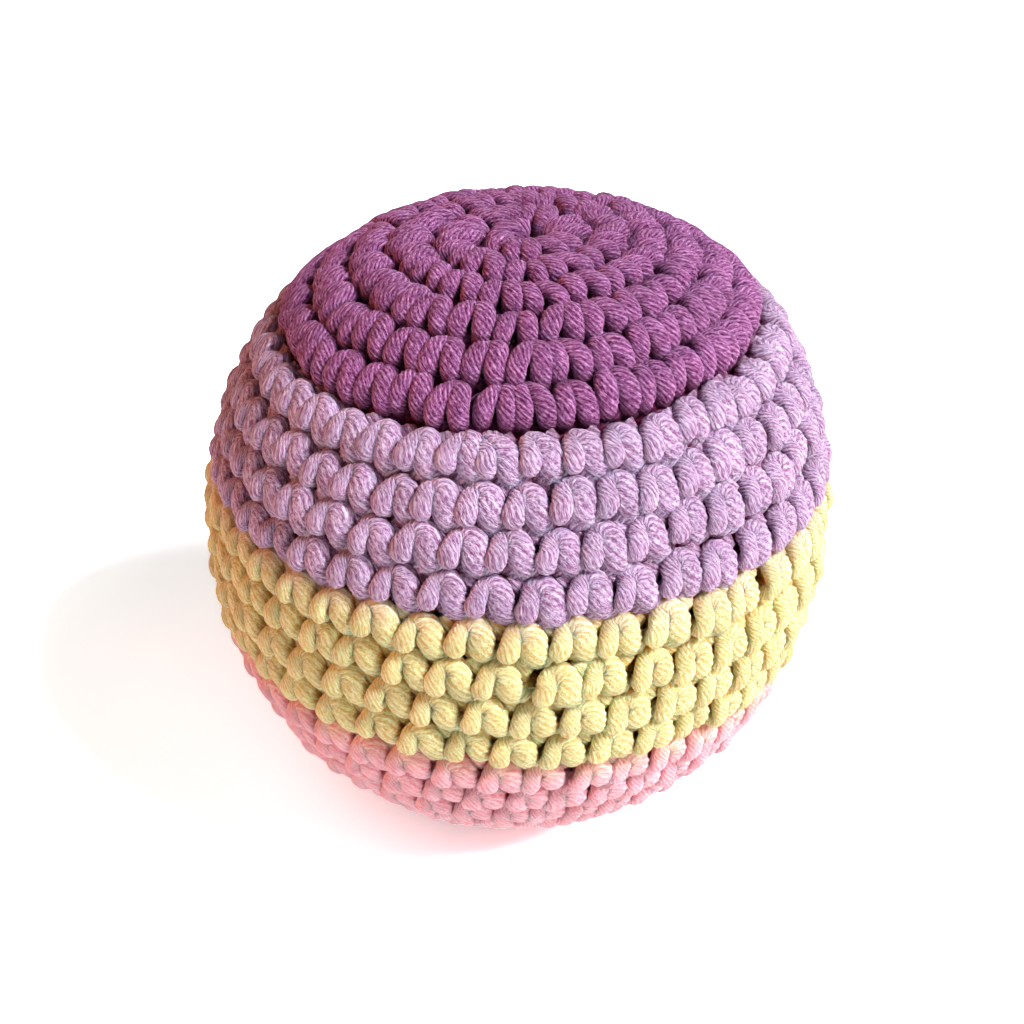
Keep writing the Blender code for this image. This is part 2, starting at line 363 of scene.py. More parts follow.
@dataclass(frozen=True)
class WovenFinish(MottledFinish):
    """Unbleached plain-woven cotton: a fine over and under of threads, matt and slightly creased."""

    crease: float = 0.4

    def share(self, tree: NodeTree) -> NodeSocket:
        """Where a thread lies on top of the one that it crosses.

        Args:
            tree: The node tree.

        Returns:
            The socket of its height.
        """
        place = add_node(tree, "TexCoord", {}, out="Object")
        bands = {"Scale": 1 / (self.patch * WAVE_BANDS), "Distortion": self.crease}
        warp, weft = (
            add_node(tree, "TexWave", {"bands_direction": way, **bands}, {"Vector": place}, "Fac")
            for way in "XZ"
        )
        return add_node(tree, "Math", {"operation": "MULTIPLY"}, {0: warp, 1: weft})


class YarnColour(Enum):
    """The four yarns, in the order they are worked, with the round each starts in."""

    PURPLE = 1
    LILAC = 7
    YELLOW = 11
    PINK = 15

    @staticmethod
    def of_round(number: int) -> "YarnColour":
        """The yarn that this round is worked in."""
        return max((yarn for yarn in YarnColour if yarn.value <= number), key=lambda yarn: yarn.value)

    @property
    def word(self) -> str:
        """The yarn's name in the names of pieces."""
        return self.name.lower()


# Each dye's colour, its painted shade between the plies, its painted highlight on the ridges, the painted
# shade of its gaps and its first row's edge
PURPLE = YarnFinish("soft_yarn_purple", "965C8A", "501840", "D69CCE", "46062A", sheen=0.22, hidden_sooner=0.1)
LILAC = YarnFinish("soft_yarn_lilac", "BEA4C0", "8A5C82", "E2D0E6", "680C38", hidden_sooner=0.03)
# Light goes further into the two pale dyes
LIT_DEEPER = {"scatter": 0.8, "scatter_reach": 1.3 * MM}
YELLOW = YarnFinish("soft_yarn_yellow", "E2DCA0", "CEB06E", "F0EEC4", "F2B254", "E2D0B6", **LIT_DEEPER)
PINK = YarnFinish("soft_yarn_pink", "F6BCC4", "EA96A0", "FBD4D8", "F87A8A", "EFC9A8", **LIT_DEEPER)
YARN_FINISHES = dict(zip(YarnColour, (PURPLE, LILAC, YELLOW, PINK)))
MATT_CLOTH = {"Roughness": 0.85, "Sheen Weight": 0.15}
LINER_CLOTH = WovenFinish("plain_woven_cotton", "CFC8BA", "F0ECE4", 0.4 * MM, MATT_CLOTH, rise=0.1 * MM)
DULL_WAX = {"Roughness": 0.55}
TIE_THREAD = MottledFinish("waxed_cotton_thread", "A8997F", "D9D0BF", 0.3 * MM, DULL_WAX)
MILKY_PLASTIC = {
    "Roughness": 0.4,
    "IOR": 1.49,
    "Subsurface Weight": 0.3,
    "Subsurface Radius": (1.0, 1.0, 1.0),
    "Subsurface Scale": 1.0 * MM,
}
PELLET_PLASTIC = MottledFinish("moulded_polypropylene", "CCD3D8", "E8ECEE", 5.0 * MM, MILKY_PLASTIC)


@dataclass(frozen=True)
class Wall:
    """The crocheted wall: where its rounds run, as in the CAD model, and how the filled bag leans.

    The bag is an upright ellipsoid whose right shoulder the pellets push out, with a small flat below. It
    is worked a little higher than it stands, because its crown sinks.
    """

    width: float = 0.057
    height: float = 0.0613
    rest_flat_depth: float = 0.0005
    crown_rise: float = 0.0012
    fabric: float = 0.0038
    pole_hole_radius: float = 0.0012
    stitches_added: int = 6
    crown_rounds: int = 6
    even_rounds: int = 11
    first_round_share: float = 0.4
    drift_share: float = 0.34
    equator_squeeze: float = math.radians(1.3)
    row_lift: float = math.radians(2.8)
    crown_tilt: float = math.radians(3.6)
    crown_sink: float = 0.0028
    crown_sink_spread: float = math.radians(21)
    pressed_depth: float = -0.0008
    pressed_share: float = 0.5
    bulge_share: float = 0.047
    bulge_spread: float = math.radians(34)
    bulge_height: float = math.radians(45)

    # The most that cos(angle) * sin(angle) ** 2 reaches, by which the crown's tilt comes and goes
    TILT_PEAK = 2 / (3 * math.sqrt(3))

    @property
    def rounds(self) -> int:
        """All rounds from the starting ring to the closing knot."""
        return 2 * self.crown_rounds + self.even_rounds

    @property
    def even_stitches(self) -> int:
        """Stitches in a round of the bag's even middle."""
        return self.stitches_added * (self.crown_rounds + 1)

    @property
    def centre_height(self) -> float:
        """Height of the bag's middle over the floor."""
        return self.height / 2 - self.rest_flat_depth

    @property
    def middle(self) -> np.ndarray:
        """The bag's middle."""
        return np.array((0.0, 0.0, self.centre_height))

    @property
    def across(self) -> float:
        """Radius of the wall's surface between the crowns of its stitches, level."""
        return self.width / 2 - self.crown_rise

    @property
    def upright(self) -> float:
        """Radius of that surface, upright."""
        return self.height / 2 - self.crown_rise

    @property
    def hole_angle(self) -> float:
        """Angle at the middle from a pole to the edge of its hole."""
        return self.pole_hole_radius / self.across

    @property
    def round_angle(self) -> float:
        """Angle at the middle that one row of the spiral takes."""
        return (math.pi - 2 * self.hole_angle) / (self.rounds - 1 + 2 * self.first_round_share)

    def stitches_in(self, number: int) -> int:
        """Stitches in this round, counted from the starting ring."""
        from_either_pole = min(number, self.rounds + 1 - number)
        return self.stitches_added * min(from_either_pole, self.crown_rounds + 1)

    def drift(self, number: int) -> float:
        """Turns that this round's start has crept back from the seam, as each hole lies a little behind."""
        later = range(2, number + 1)
        return sum(self.drift_share / self.stitches_in(other) for other in later)

    def angle_at(self, spiral: np.ndarray) -> np.ndarray:
        """Angle from the top at places along the spiral.

        Args:
            spiral: The places, in rows from the first round's lower start.

        Returns:
            The angle at each.
        """
        start = self.hole_angle + self.first_round_share * self.round_angle
        end = math.pi - self.hole_angle
        upper = start + self.first_round_share * self.round_angle * spiral
        lower = end - self.first_round_share * self.round_angle * (self.rounds - spiral)
        even = start + self.round_angle * spiral
        angle = np.where(spiral < 0, upper, np.where(spiral > self.rounds - 1, lower, even))
        return angle + self.equator_squeeze * np.sin(2 * angle) - self.row_lift * np.sin(angle)

    def place(self, turns: np.ndarray, row: np.ndarray, depth: np.ndarray) -> np.ndarray:
        """Points in the wall, before the bag leans.

        Args:
            turns: Turns round the bag from the back, anticlockwise from above.
            row: Rows below the upper edge of the round that runs there.
            depth: How deep the points lie under the wall's surface.

        Returns:
            An array of points, one row each.
        """
        angle = np.maximum(self.angle_at(turns - 1 + row), 0.0)
        heading = FULL_TURN * turns
        upper = np.maximum(np.cos(angle), 0.0) * np.sin(angle) ** 2 / self.TILT_PEAK
        angle = angle + self.crown_tilt * upper * np.sin(heading)
        out = (self.across - depth) * np.sin(angle)
        up = (self.upright - depth) * np.cos(angle)
        return np.stack((-out * np.sin(heading), out * np.cos(heading), self.centre_height + up), axis=-1)

    def depth_of(self, points: np.ndarray) -> np.ndarray:
        """How deep points lie under the wall's surface, before the bag leans."""
        shares = (points - self.middle) / np.array((self.across, self.across, self.upright))
        return (1.0 - np.linalg.norm(shares, axis=-1)) * self.across

    def press(self, points: np.ndarray) -> np.ndarray:
        """Presses yarn that stands too far out a little flatter.

        Args:
            points: Points before the bag leans, one row each.

        Returns:
            The same points, pressed.
        """
        proud = np.maximum(self.pressed_depth - self.depth_of(points), 0.0)
        inward = 1.0 - (1.0 - self.pressed_share) * proud / (self.across - self.depth_of(points))
        return self.middle + (points - self.middle) * inward[..., None]

    def lean(self, points: np.ndarray) -> np.ndarray:
        """Moves points as the bag takes its form: shoulder pushed out, crown sunk, and foot on the floor.

        Args:
            points: Points before the bag leans, one row each.

        Returns:
            The same points, leaned.
        """
        offsets = points - self.middle
        lengths = np.maximum(np.linalg.norm(offsets, axis=-1, keepdims=True), MERGE_DISTANCE)
        shoulder = np.array((math.cos(self.bulge_height), 0.0, math.sin(self.bulge_height)))
        apart = np.arccos(np.clip(offsets @ shoulder / lengths[..., 0], -1.0, 1.0))
        swell = self.bulge_share * np.exp(-((apart / self.bulge_spread) ** 2))
        leaned = self.middle + offsets * (1.0 + swell[..., None])
        from_pole = np.arccos(np.clip(offsets[..., 2] / lengths[..., 0], -1.0, 1.0))
        leaned[..., 2] -= self.crown_sink * np.exp(-((from_pole / self.crown_sink_spread) ** 2))
        leaned[..., 2] = np.maximum(leaned[..., 2], 0.0)
        return leaned


def arc_length(points: np.ndarray) -> np.ndarray:
    """Length along a path at each of its points."""
    steps = np.linalg.norm(np.diff(points, axis=0), axis=1)
    return np.concatenate(((0.0,), np.cumsum(steps)))


def smooth_path(knots: np.ndarray, steps: np.ndarray) -> np.ndarray:
    """Points of a smooth line through knots, with any further columns carried along.

    Args:
        knots: One row each, the first three columns a point.
        steps: How many pieces each stretch between two knots is cut into.

    Returns:
        Rows along the line, the last knot among them.
    """
    padded = np.vstack((2 * knots[0] - knots[1], knots, 2 * knots[-1] - knots[-2]))
    stretch = np.repeat(np.arange(len(knots) - 1), steps)
    first = np.concatenate(((0,), np.cumsum(steps)[:-1]))
    share = (np.arange(len(stretch)) - first[stretch]) / steps[stretch]
    share = share[:, None]
    before, start, end, after = (padded[stretch + shift] for shift in range(4))
    rows = 0.5 * (
        2 * start
        + (end - before) * share
        + (2 * before - 5 * start + 4 * end - after) * share**2
        + (3 * start - before - 3 * end + after) * share**3
    )
    return np.vstack((rows, knots[-1]))


def path_curve(name: str, centres: np.ndarray) -> Curve:
    """A curve of straight pieces through points.

    Args:
        name: The curve's name.
        centres: The points, one row each.

    Returns:
        The curve, with one spline.
    """
    curve = bpy.data.curves.new(name, "CURVE")
    curve.dimensions = "3D"
    spline = curve.splines.new("POLY")
    spline.points.add(len(centres) - 1)
    spline.points.foreach_set("co", np.column_stack((centres, np.ones(len(centres)))).ravel())
    return curve


def add_object(name: str, data: bpy.types.ID) -> Object:
    """Adds an object to the scene.

    Args:
        name: Its name.
        data: Its mesh, curve, lamp or camera.

    Returns:
        The object.
    """
    added = bpy.data.objects.new(name, data)
    bpy.context.scene.collection.objects.link(added)
    return added


def mesh_of(curve: Curve) -> Mesh:
    """The mesh of a curve that has a thickness.

    Args:
        curve: The curve.

    Returns:
        Its mesh, ring by ring.
    """
    holder = add_object(curve.name, curve)
    graph = bpy.context.evaluated_depsgraph_get()
    mesh = bpy.data.meshes.new_from_object(holder.evaluated_get(graph))
    bpy.data.objects.remove(holder)
    return mesh


def store(mesh: Mesh, name: str, kind: str, slot: str, values: np.ndarray) -> None:
    """Stores one value for each vertex of a mesh."""
    attribute = mesh.attributes.new(name, kind, "POINT")
    attribute.data.foreach_set(slot, np.ascontiguousarray(values, dtype=np.float32).ravel())


def corners_of(mesh: Mesh) -> np.ndarray:
    """Where a mesh's vertices are.

    Args:
        mesh: The mesh.

    Returns:
        Their places, one row each.
    """
    points = np.empty(len(mesh.vertices) * 3)
    mesh.vertices.foreach_get("co", points)
    return points.reshape(-1, 3)


def add_piece(name: str, mesh: Mesh, material: Material, slot: str) -> Object:
    """Adds a piece of the bag to the scene, in the place of the CAD node of its name.

    Args:
        name: The name of the CAD node.
        mesh: The piece's mesh, in its place.
        material: Its finish.
        slot: The record's slot that the finish belongs to; not used.

    Returns:
        The piece.
    """
    mesh.materials.clear()
    mesh.materials.append(material)
    piece = add_object(DRESSED + name, mesh)
    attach(piece, BODY)
    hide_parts(name)
    log.info("%s: %d faces", name, len(mesh.polygons))
    return piece


@dataclass(frozen=True)
class Yarn:
    """Soft yarn of many thin plies laid round each other, tighter where it is drawn thin."""

    radius: float = 0.0011
    plies: int = 10
    ply_relief_share: float = 0.09
    lay_length: float = 0.0058
    lay_tightening: float = 2.0

    @property
    def sides(self) -> int:
        """Corners round its section: a ridge and a groove for each ply."""
        return 2 * self.plies

    def section(self) -> Object:
        """The yarn's section, with a ridge for each ply.

        Returns:
            A hidden object that holds it as a closed curve.
        """
        curve = bpy.data.curves.new("yarn_section", "CURVE")
        curve.dimensions = "2D"
        spline = curve.splines.new("POLY")
        spline.points.add(self.sides - 1)
        for side, point in enumerate(spline.points):
            turn = FULL_TURN * side / self.sides
            reach = self.radius * (1.0 if side % 2 else 1.0 - self.ply_relief_share)
            point.co = (reach * math.cos(turn), reach * math.sin(turn), 0.0, 1.0)
        spline.use_cyclic_u = True
        section = add_object("yarn_section", curve)
        section.hide_render = True
        return section

    def sweep(self, name: str, centres: np.ndarray, shares: np.ndarray, section: Object) -> Mesh:
        """An open tube of the yarn along a path.

        Args:
            name: The mesh's name.
            centres: Points along the yarn's middle.
            shares: The yarn's thickness at each point, as a share of its own.
            section: The yarn's section.

        Returns:
            The mesh, whose vertices run ring by ring along the path.
        """
        tightness = shares**-self.lay_tightening
        laid = np.diff(arc_length(centres)) * (tightness[:-1] + tightness[1:]) / 2
        twist = -FULL_TURN * np.concatenate(((0.0,), np.cumsum(laid))) / self.lay_length
        curve = path_curve(name, centres)
        curve.twist_mode = "MINIMUM"
        curve.splines[0].points.foreach_set("radius", shares)
        curve.splines[0].points.foreach_set("tilt", twist)
        curve.bevel_mode = "OBJECT"
        curve.bevel_object = section
        return mesh_of(curve)

    def dress(self, mesh: Mesh, wall: Wall, path: np.ndarray) -> None:
        """Gives a swept yarn what its finish reads, leans it with the bag and closes its ends.

        Args:
            mesh: The swept mesh, ring by ring.
            wall: The wall that it lies in.
            path: The rows that it was swept along: a point, a thickness share and rows into the colour.
        """
        points = wall.press(corners_of(mesh))
        ring, side = np.divmod(np.arange(len(points)), self.sides)
        turn = FULL_TURN * side / self.sides
        along = arc_length(path[:, :3])[ring]
        straight = np.column_stack((self.radius * np.cos(turn), self.radius * np.sin(turn), along))
        # How deep each point lies in the wall, which sets how much painted shade it gets
        depth = (wall.depth_of(points) + wall.crown_rise) / (2 * wall.crown_rise)
        store(mesh, "yarn_place", "FLOAT_VECTOR", "vector", straight)
        store(mesh, "ply_height", "FLOAT", "value", side % 2)
        store(mesh, "pile_depth", "FLOAT", "value", np.clip(depth, 0.0, 1.0))
        store(mesh, "rows_in", "FLOAT", "value", path[ring, 4])
        mesh.vertices.foreach_set("co", wall.lean(points).ravel())
        shape = bmesh.new()
        shape.from_mesh(mesh)
        bmesh.ops.holes_fill(shape, edges=[edge for edge in shape.edges if edge.is_boundary], sides=0)
        bmesh.ops.recalc_face_normals(shape, faces=shape.faces)
        shape.to_mesh(mesh)
        shape.free()
        mesh.shade_smooth()


@dataclass(frozen=True)
class Bend:
    """One place on the yarn's way through a stitch.

    Shares are of the stitch's pitch along the round, of the row's height and of the yarn's thickness. The
    steps are the pieces that the yarn is cut into before the next bend.
    """

    along_share: float
    row_share: float
    depth: float
    thickness_share: float
    steps: int


# The yarn's way through one single crochet, seen from outside with the work running to the right
STITCH = (
    Bend(-0.50, 0.92, 0.0019, 0.80, 1),  # second base strand
    Bend(-0.36, 0.96, 0.0017, 0.80, 1),  # behind the nub's end
    Bend(-0.22, 1.00, 0.0006, 0.70, 2),  # under the nub
    Bend(-0.21, 0.94, -0.0005, 0.80, 3),  # round end of the nub
    Bend(-0.20, 0.83, -0.0010, 0.84, 3),  # low on the nub
    Bend(-0.18, 0.69, -0.0008, 0.78, 3),  # nub
    Bend(-0.14, 0.56, -0.0004, 0.76, 3),  # high on the nub
    Bend(-0.07, 0.47, 0.0000, 0.80, 3),  # left of the apex
    Bend(0.04, 0.43, 0.0001, 0.90, 3),  # right of the apex
    Bend(0.15, 0.45, 0.0001, 0.98, 3),  # top of the arm
    Bend(0.23, 0.55, 0.0000, 1.08, 3),  # high on the arm
    Bend(0.27, 0.69, -0.0001, 1.13, 3),  # arm
    Bend(0.30, 0.84, 0.0000, 1.11, 3),  # low on the arm
    Bend(0.34, 0.99, 0.0003, 1.04, 3),  # tapered end of the arm
    Bend(0.40, 1.13, 0.0008, 0.98, 3),  # on the next nub's shoulder
    Bend(0.40, 1.27, 0.0016, 0.82, 2),  # under the next row
    Bend(0.26, 1.14, 0.0023, 0.80, 1),  # behind the arm
    Bend(0.08, 0.78, 0.0016, 0.80, 2),  # up between the legs
    Bend(0.02, 0.25, 0.0019, 0.80, 2),  # behind the hole
    Bend(0.38, 0.10, 0.0020, 0.80, 1),  # behind the corner
    Bend(0.56, 0.28, 0.0010, 0.92, 2),  # beside the arm
    Bend(0.56, 0.66, 0.0012, 0.88, 2),  # down between the arms
    Bend(-0.05, 0.90, 0.0021, 0.75, 1),  # through both loops
    Bend(-0.45, 0.98, 0.0013, 0.90, 2),  # up to the edge
    Bend(-0.10, 1.06, 0.0015, 0.90, 2),  # front of the edge
    Bend(0.22, 1.14, 0.0009, 1.00, 2),  # front of the edge, further on
    Bend(0.52, 1.10, 0.0007, 1.00, 2),  # between the arms
    Bend(0.74, 1.06, 0.0016, 0.85, 2),  # turn at the next stitch
    Bend(0.40, 1.04, 0.0022, 0.75, 1),  # back of the edge
    Bend(-0.05, 1.02, 0.0022, 0.75, 1),  # back of the edge, further on
    Bend(0.12, 0.94, 0.0021, 0.75, 1),  # back through both loops
)

# The same stitch where the rounds widen or narrow: an arch whose two legs stand across the round
CROWDED_STITCH = (
    Bend(-0.46, 0.86, 0.0021, 0.75, 1),  # second base strand
    Bend(-0.37, 0.96, 0.0019, 0.75, 1),  # behind the left leg
    Bend(-0.30, 0.97, 0.0009, 0.76, 2),  # out of the groove
    Bend(-0.29, 0.83, 0.0000, 0.82, 3),  # low on the left leg
    Bend(-0.26, 0.62, -0.0004, 0.82, 3),  # left leg
    Bend(-0.21, 0.40, -0.0003, 0.80, 3),  # high on the left leg
    Bend(-0.09, 0.22, 0.0004, 0.76, 3),  # left of the apex
    Bend(0.08, 0.21, 0.0004, 0.78, 3),  # right of the apex
    Bend(0.21, 0.39, -0.0003, 0.82, 3),  # high on the right leg
    Bend(0.26, 0.62, -0.0004, 0.86, 3),  # right leg
    Bend(0.29, 0.83, 0.0000, 0.84, 3),  # low on the right leg
    Bend(0.30, 0.97, 0.0009, 0.78, 2),  # back into the groove
    Bend(0.22, 0.96, 0.0020, 0.75, 1),  # behind the right leg
    Bend(0.03, 0.80, 0.0014, 0.78, 1),  # up between the legs
    Bend(0.00, 0.45, 0.0015, 0.78, 1),  # behind the apex
    Bend(0.48, 0.28, 0.0014, 0.80, 2),  # beside the right leg
    Bend(0.51, 0.72, 0.0014, 0.80, 2),  # down between the arches
    Bend(-0.05, 0.96, 0.0018, 0.75, 1),  # through both loops
    Bend(-0.40, 1.00, 0.0014, 0.80, 2),  # up to the edge
    Bend(0.40, 1.02, 0.0013, 0.85, 2),  # front of the edge
    Bend(0.74, 1.04, 0.0018, 0.80, 1),  # turn at the next stitch
    Bend(-0.05, 1.00, 0.0022, 0.75, 1),  # back of the edge
    Bend(0.12, 0.94, 0.0021, 0.75, 1),  # back through both loops
)


@dataclass
class CrochetRound:
    """One round of the spiral, worked stitch by stitch from one yarn."""

    number: int
    wall: Wall
    yarn: Yarn
    section: Object
    finish: Material
    ring_pull: float = 0.3
    held_row_share: float = 0.7
    crowded_hold: float = 0.5
    stitch_unevenness_share: float = 0.04
    unevenness_share: float = 0.012
    depth_unevenness: float = 0.00016
    seed: int = 700

    @property
    def colour(self) -> YarnColour:
        """The yarn it is worked in."""
        return YarnColour.of_round(self.number)

    @property
    def name(self) -> str:
        """The name it shares with its CAD node."""
        return f"{self.colour.word}_round_{self.number - self.colour.value + 1}"

    def centre_of(self, number: int, stitch: int) -> float:
        """Turns at the middle of a stitch.

        Args:
            number: The round.
            stitch: The stitch in it, from 0.

        Returns:
            The turns from the back.
        """
        start = self.wall.drift(number)
        creep = self.wall.drift(number + 1) - start if number < self.wall.rounds else 0.0
        return number - 1 - start + (stitch + 0.5) / self.wall.stitches_in(number) * (1 - creep)

    def parents_of(self, stitch: int) -> tuple:
        """The stitches of the round before that this one is worked into.

        Args:
            stitch: The stitch, from 0.

        Returns:
            One stitch, or two where the round narrows.
        """
        groups = self.wall.stitches_added
        own, before = (self.wall.stitches_in(number) // groups for number in (self.number, self.number - 1))
        if own == before:
            return (stitch,)
        # Each group widens or narrows at one place, which moves on by two so that they don't stack up
        group, place = divmod(stitch, own)
        turned = (2 * self.number) % min(own, before)
        if own > before:
            parents = (place - 1 if place > turned else place,)
        else:
            first = place + 1 if place > turned else place
            parents = (first, first + 1) if place == turned else (first,)
        return tuple(group * before + min(parent, before - 1) for parent in parents)

    def apex_of(self, stitch: int) -> float:
        """Turns at the hole that a stitch comes out of, a little behind the middle of the one below it.

        Args:
            stitch: The stitch, from 0.

        Returns:
            The turns from the back.
        """
        if self.number == 1:
            return self.centre_of(1, stitch)
        before = self.number - 1
        pitch = 1 / self.wall.stitches_in(before)
        middles = [self.centre_of(before, parent) + 1 for parent in self.parents_of(stitch)]
        holes = [middle - self.wall.drift_share * pitch for middle in middles]
        return sum(holes) / len(holes)

    def knots(self) -> tuple:
        """The bends of the whole round, stitch after stitch.

        Returns:
            An array with a row of x, y, z, thickness share and rows into the colour for each bend, and the
            number of pieces that each stretch is cut into.
        """
        chance = random.Random(self.seed + self.number)
        rows, steps = [], []
        count = self.wall.stitches_in(self.number)
        crowded = count < self.wall.even_stitches
        bends, hold_share = (CROWDED_STITCH, self.crowded_hold) if crowded else (STITCH, 1.0)
        for stitch in range(count):
            centre, apex = self.centre_of(self.number, stitch), self.apex_of(stitch)
            shift, drop, swell = (chance.gauss(0, self.stitch_unevenness_share) for _ in range(3))
            sunk = chance.gauss(0, self.depth_unevenness)
            for bend in bends:
                hold = max(0.0, 1.0 - bend.row_share / self.held_row_share)
                along = bend.along_share + shift + chance.gauss(0, self.unevenness_share)
                turns = centre + along / count + hold * (apex - centre) * hold_share
                row = bend.row_share
                if self.number == 1:
                    row -= self.ring_pull * max(0.0, 1.0 - row)
                row += drop + chance.gauss(0, self.unevenness_share)
                share = bend.thickness_share * (1 + swell + chance.gauss(0, self.unevenness_share))
                rows.append((turns, row, bend.depth + sunk, share))
                steps.append(bend.steps)
        turns, row, depth, share = np.array(rows).T
        places = self.wall.place(turns, row, depth)
        rows_in = row + self.number - self.colour.value
        return np.column_stack((places, share, rows_in)), np.array(steps[:-1])

    def build(self) -> None:
        """Works the round and adds it in the place of its CAD node."""
        path = smooth_path(*self.knots())
        mesh = self.yarn.sweep(self.name, path[:, :3], path[:, 3], self.section)
        self.yarn.dress(mesh, self.wall, path)
        add_piece(self.name, mesh, self.finish, f"{self.colour.word}_yarn")


@dataclass
class YarnEnds:
    """The lengths of yarn that aren't stitches: the starting ring, the join tails and the closing knot."""

    wall: Wall
    yarn: Yarn
    section: Object
    finishes: dict
    ring_radius: float = 0.0010
    ring_thickness_share: float = 0.5
    ring_turns: float = 1.3
    tail_length: float = 0.018
    tail_depth: float = 0.00185
    tail_thickness_share: float = 0.66
    tail_tip_share: float = 0.35
    join_knot_share: float = 0.3
    join_knot_reach: float = 0.12
    knot_radius: float = 0.0010
    knot_height: float = 0.0028
    knot_turns: float = 1.5
    knot_thickness_share: float = 0.6
    points: int = 40

    def add(self, name: str, colour: YarnColour, centres: np.ndarray, shares: np.ndarray) -> None:
        """Adds one length of yarn in the place of a CAD node.

        Args:
            name: The name of the CAD node.
            colour: The yarn.
            centres: Points along the yarn's middle.
            shares: Its thickness at each point, as a share of its own.
        """
        mesh = self.yarn.sweep(name, centres, shares, self.section)
        self.yarn.dress(mesh, self.wall, np.column_stack((centres, shares, np.ones(len(centres)))))
        add_piece(name, mesh, self.finishes[colour], f"{colour.word}_yarn")

    def starting_ring(self) -> None:
        """The loop that the first stitches are worked into, closed by lapping over itself."""
        steps = np.linspace(0.0, 1.0, self.points)
        turn = FULL_TURN * self.ring_turns * steps
        thickness = self.yarn.radius * self.ring_thickness_share
        height = self.wall.centre_height + self.wall.upright - self.wall.fabric + self.wall.crown_rise
        lap = height + thickness + thickness * (steps - 0.5)
        centres = np.column_stack((self.ring_radius * np.cos(turn), self.ring_radius * np.sin(turn), lap))
        self.add("starting_ring", YarnColour.PURPLE, centres, np.full(self.points, self.ring_thickness_share))

    def join_tail(self, before: YarnColour, after: YarnColour) -> None:
        """The two knotted ends at a change of colour, laid in the groove inside the wall.

        Args:
            before: The yarn that ends there.
            after: The yarn that starts there.
        """
        along = np.linspace(-1.0, 1.0, self.points)
        spiral = after.value - 2
        angle = float(self.wall.angle_at(np.array(float(spiral))))
        reach = self.tail_length / (FULL_TURN * self.wall.across * math.sin(angle))
        turns = spiral + 1 + along * reach / 2
        rows = spiral + 1 - turns + along * reach / 2
        centres = self.wall.place(turns, rows, np.full(self.points, self.tail_depth))
        shares = self.tail_thickness_share - (self.tail_thickness_share - self.tail_tip_share) * along**4
        shares += self.join_knot_share * np.exp(-((along / self.join_knot_reach) ** 2))
        self.add(f"{before.word}_{after.word}_join_tail", after, centres, shares)

    def closing_knot(self) -> None:
        """The last end, drawn up through the final stitches and knotted over them."""
        steps = np.linspace(0.0, 1.0, self.points)
        thickness = self.yarn.radius * self.knot_thickness_share
        turn = FULL_TURN * self.knot_turns * steps
        swing = self.knot_radius * np.sin(math.pi * steps)
        height = thickness + self.knot_height * steps + thickness * np.sin(2 * turn) * np.sin(math.pi * steps)
        centres = np.column_stack((swing * np.cos(turn), swing * np.sin(2 * turn), height))
        self.add("closing_knot", YarnColour.PINK, centres, np.full(self.points, self.knot_thickness_share))

    def build(self) -> None:
        """Adds every length that isn't a stitch."""
        self.starting_ring()
        colours = list(YarnColour)
        for before, after in zip(colours, colours[1:]):
            self.join_tail(before, after)
        self.closing_knot()


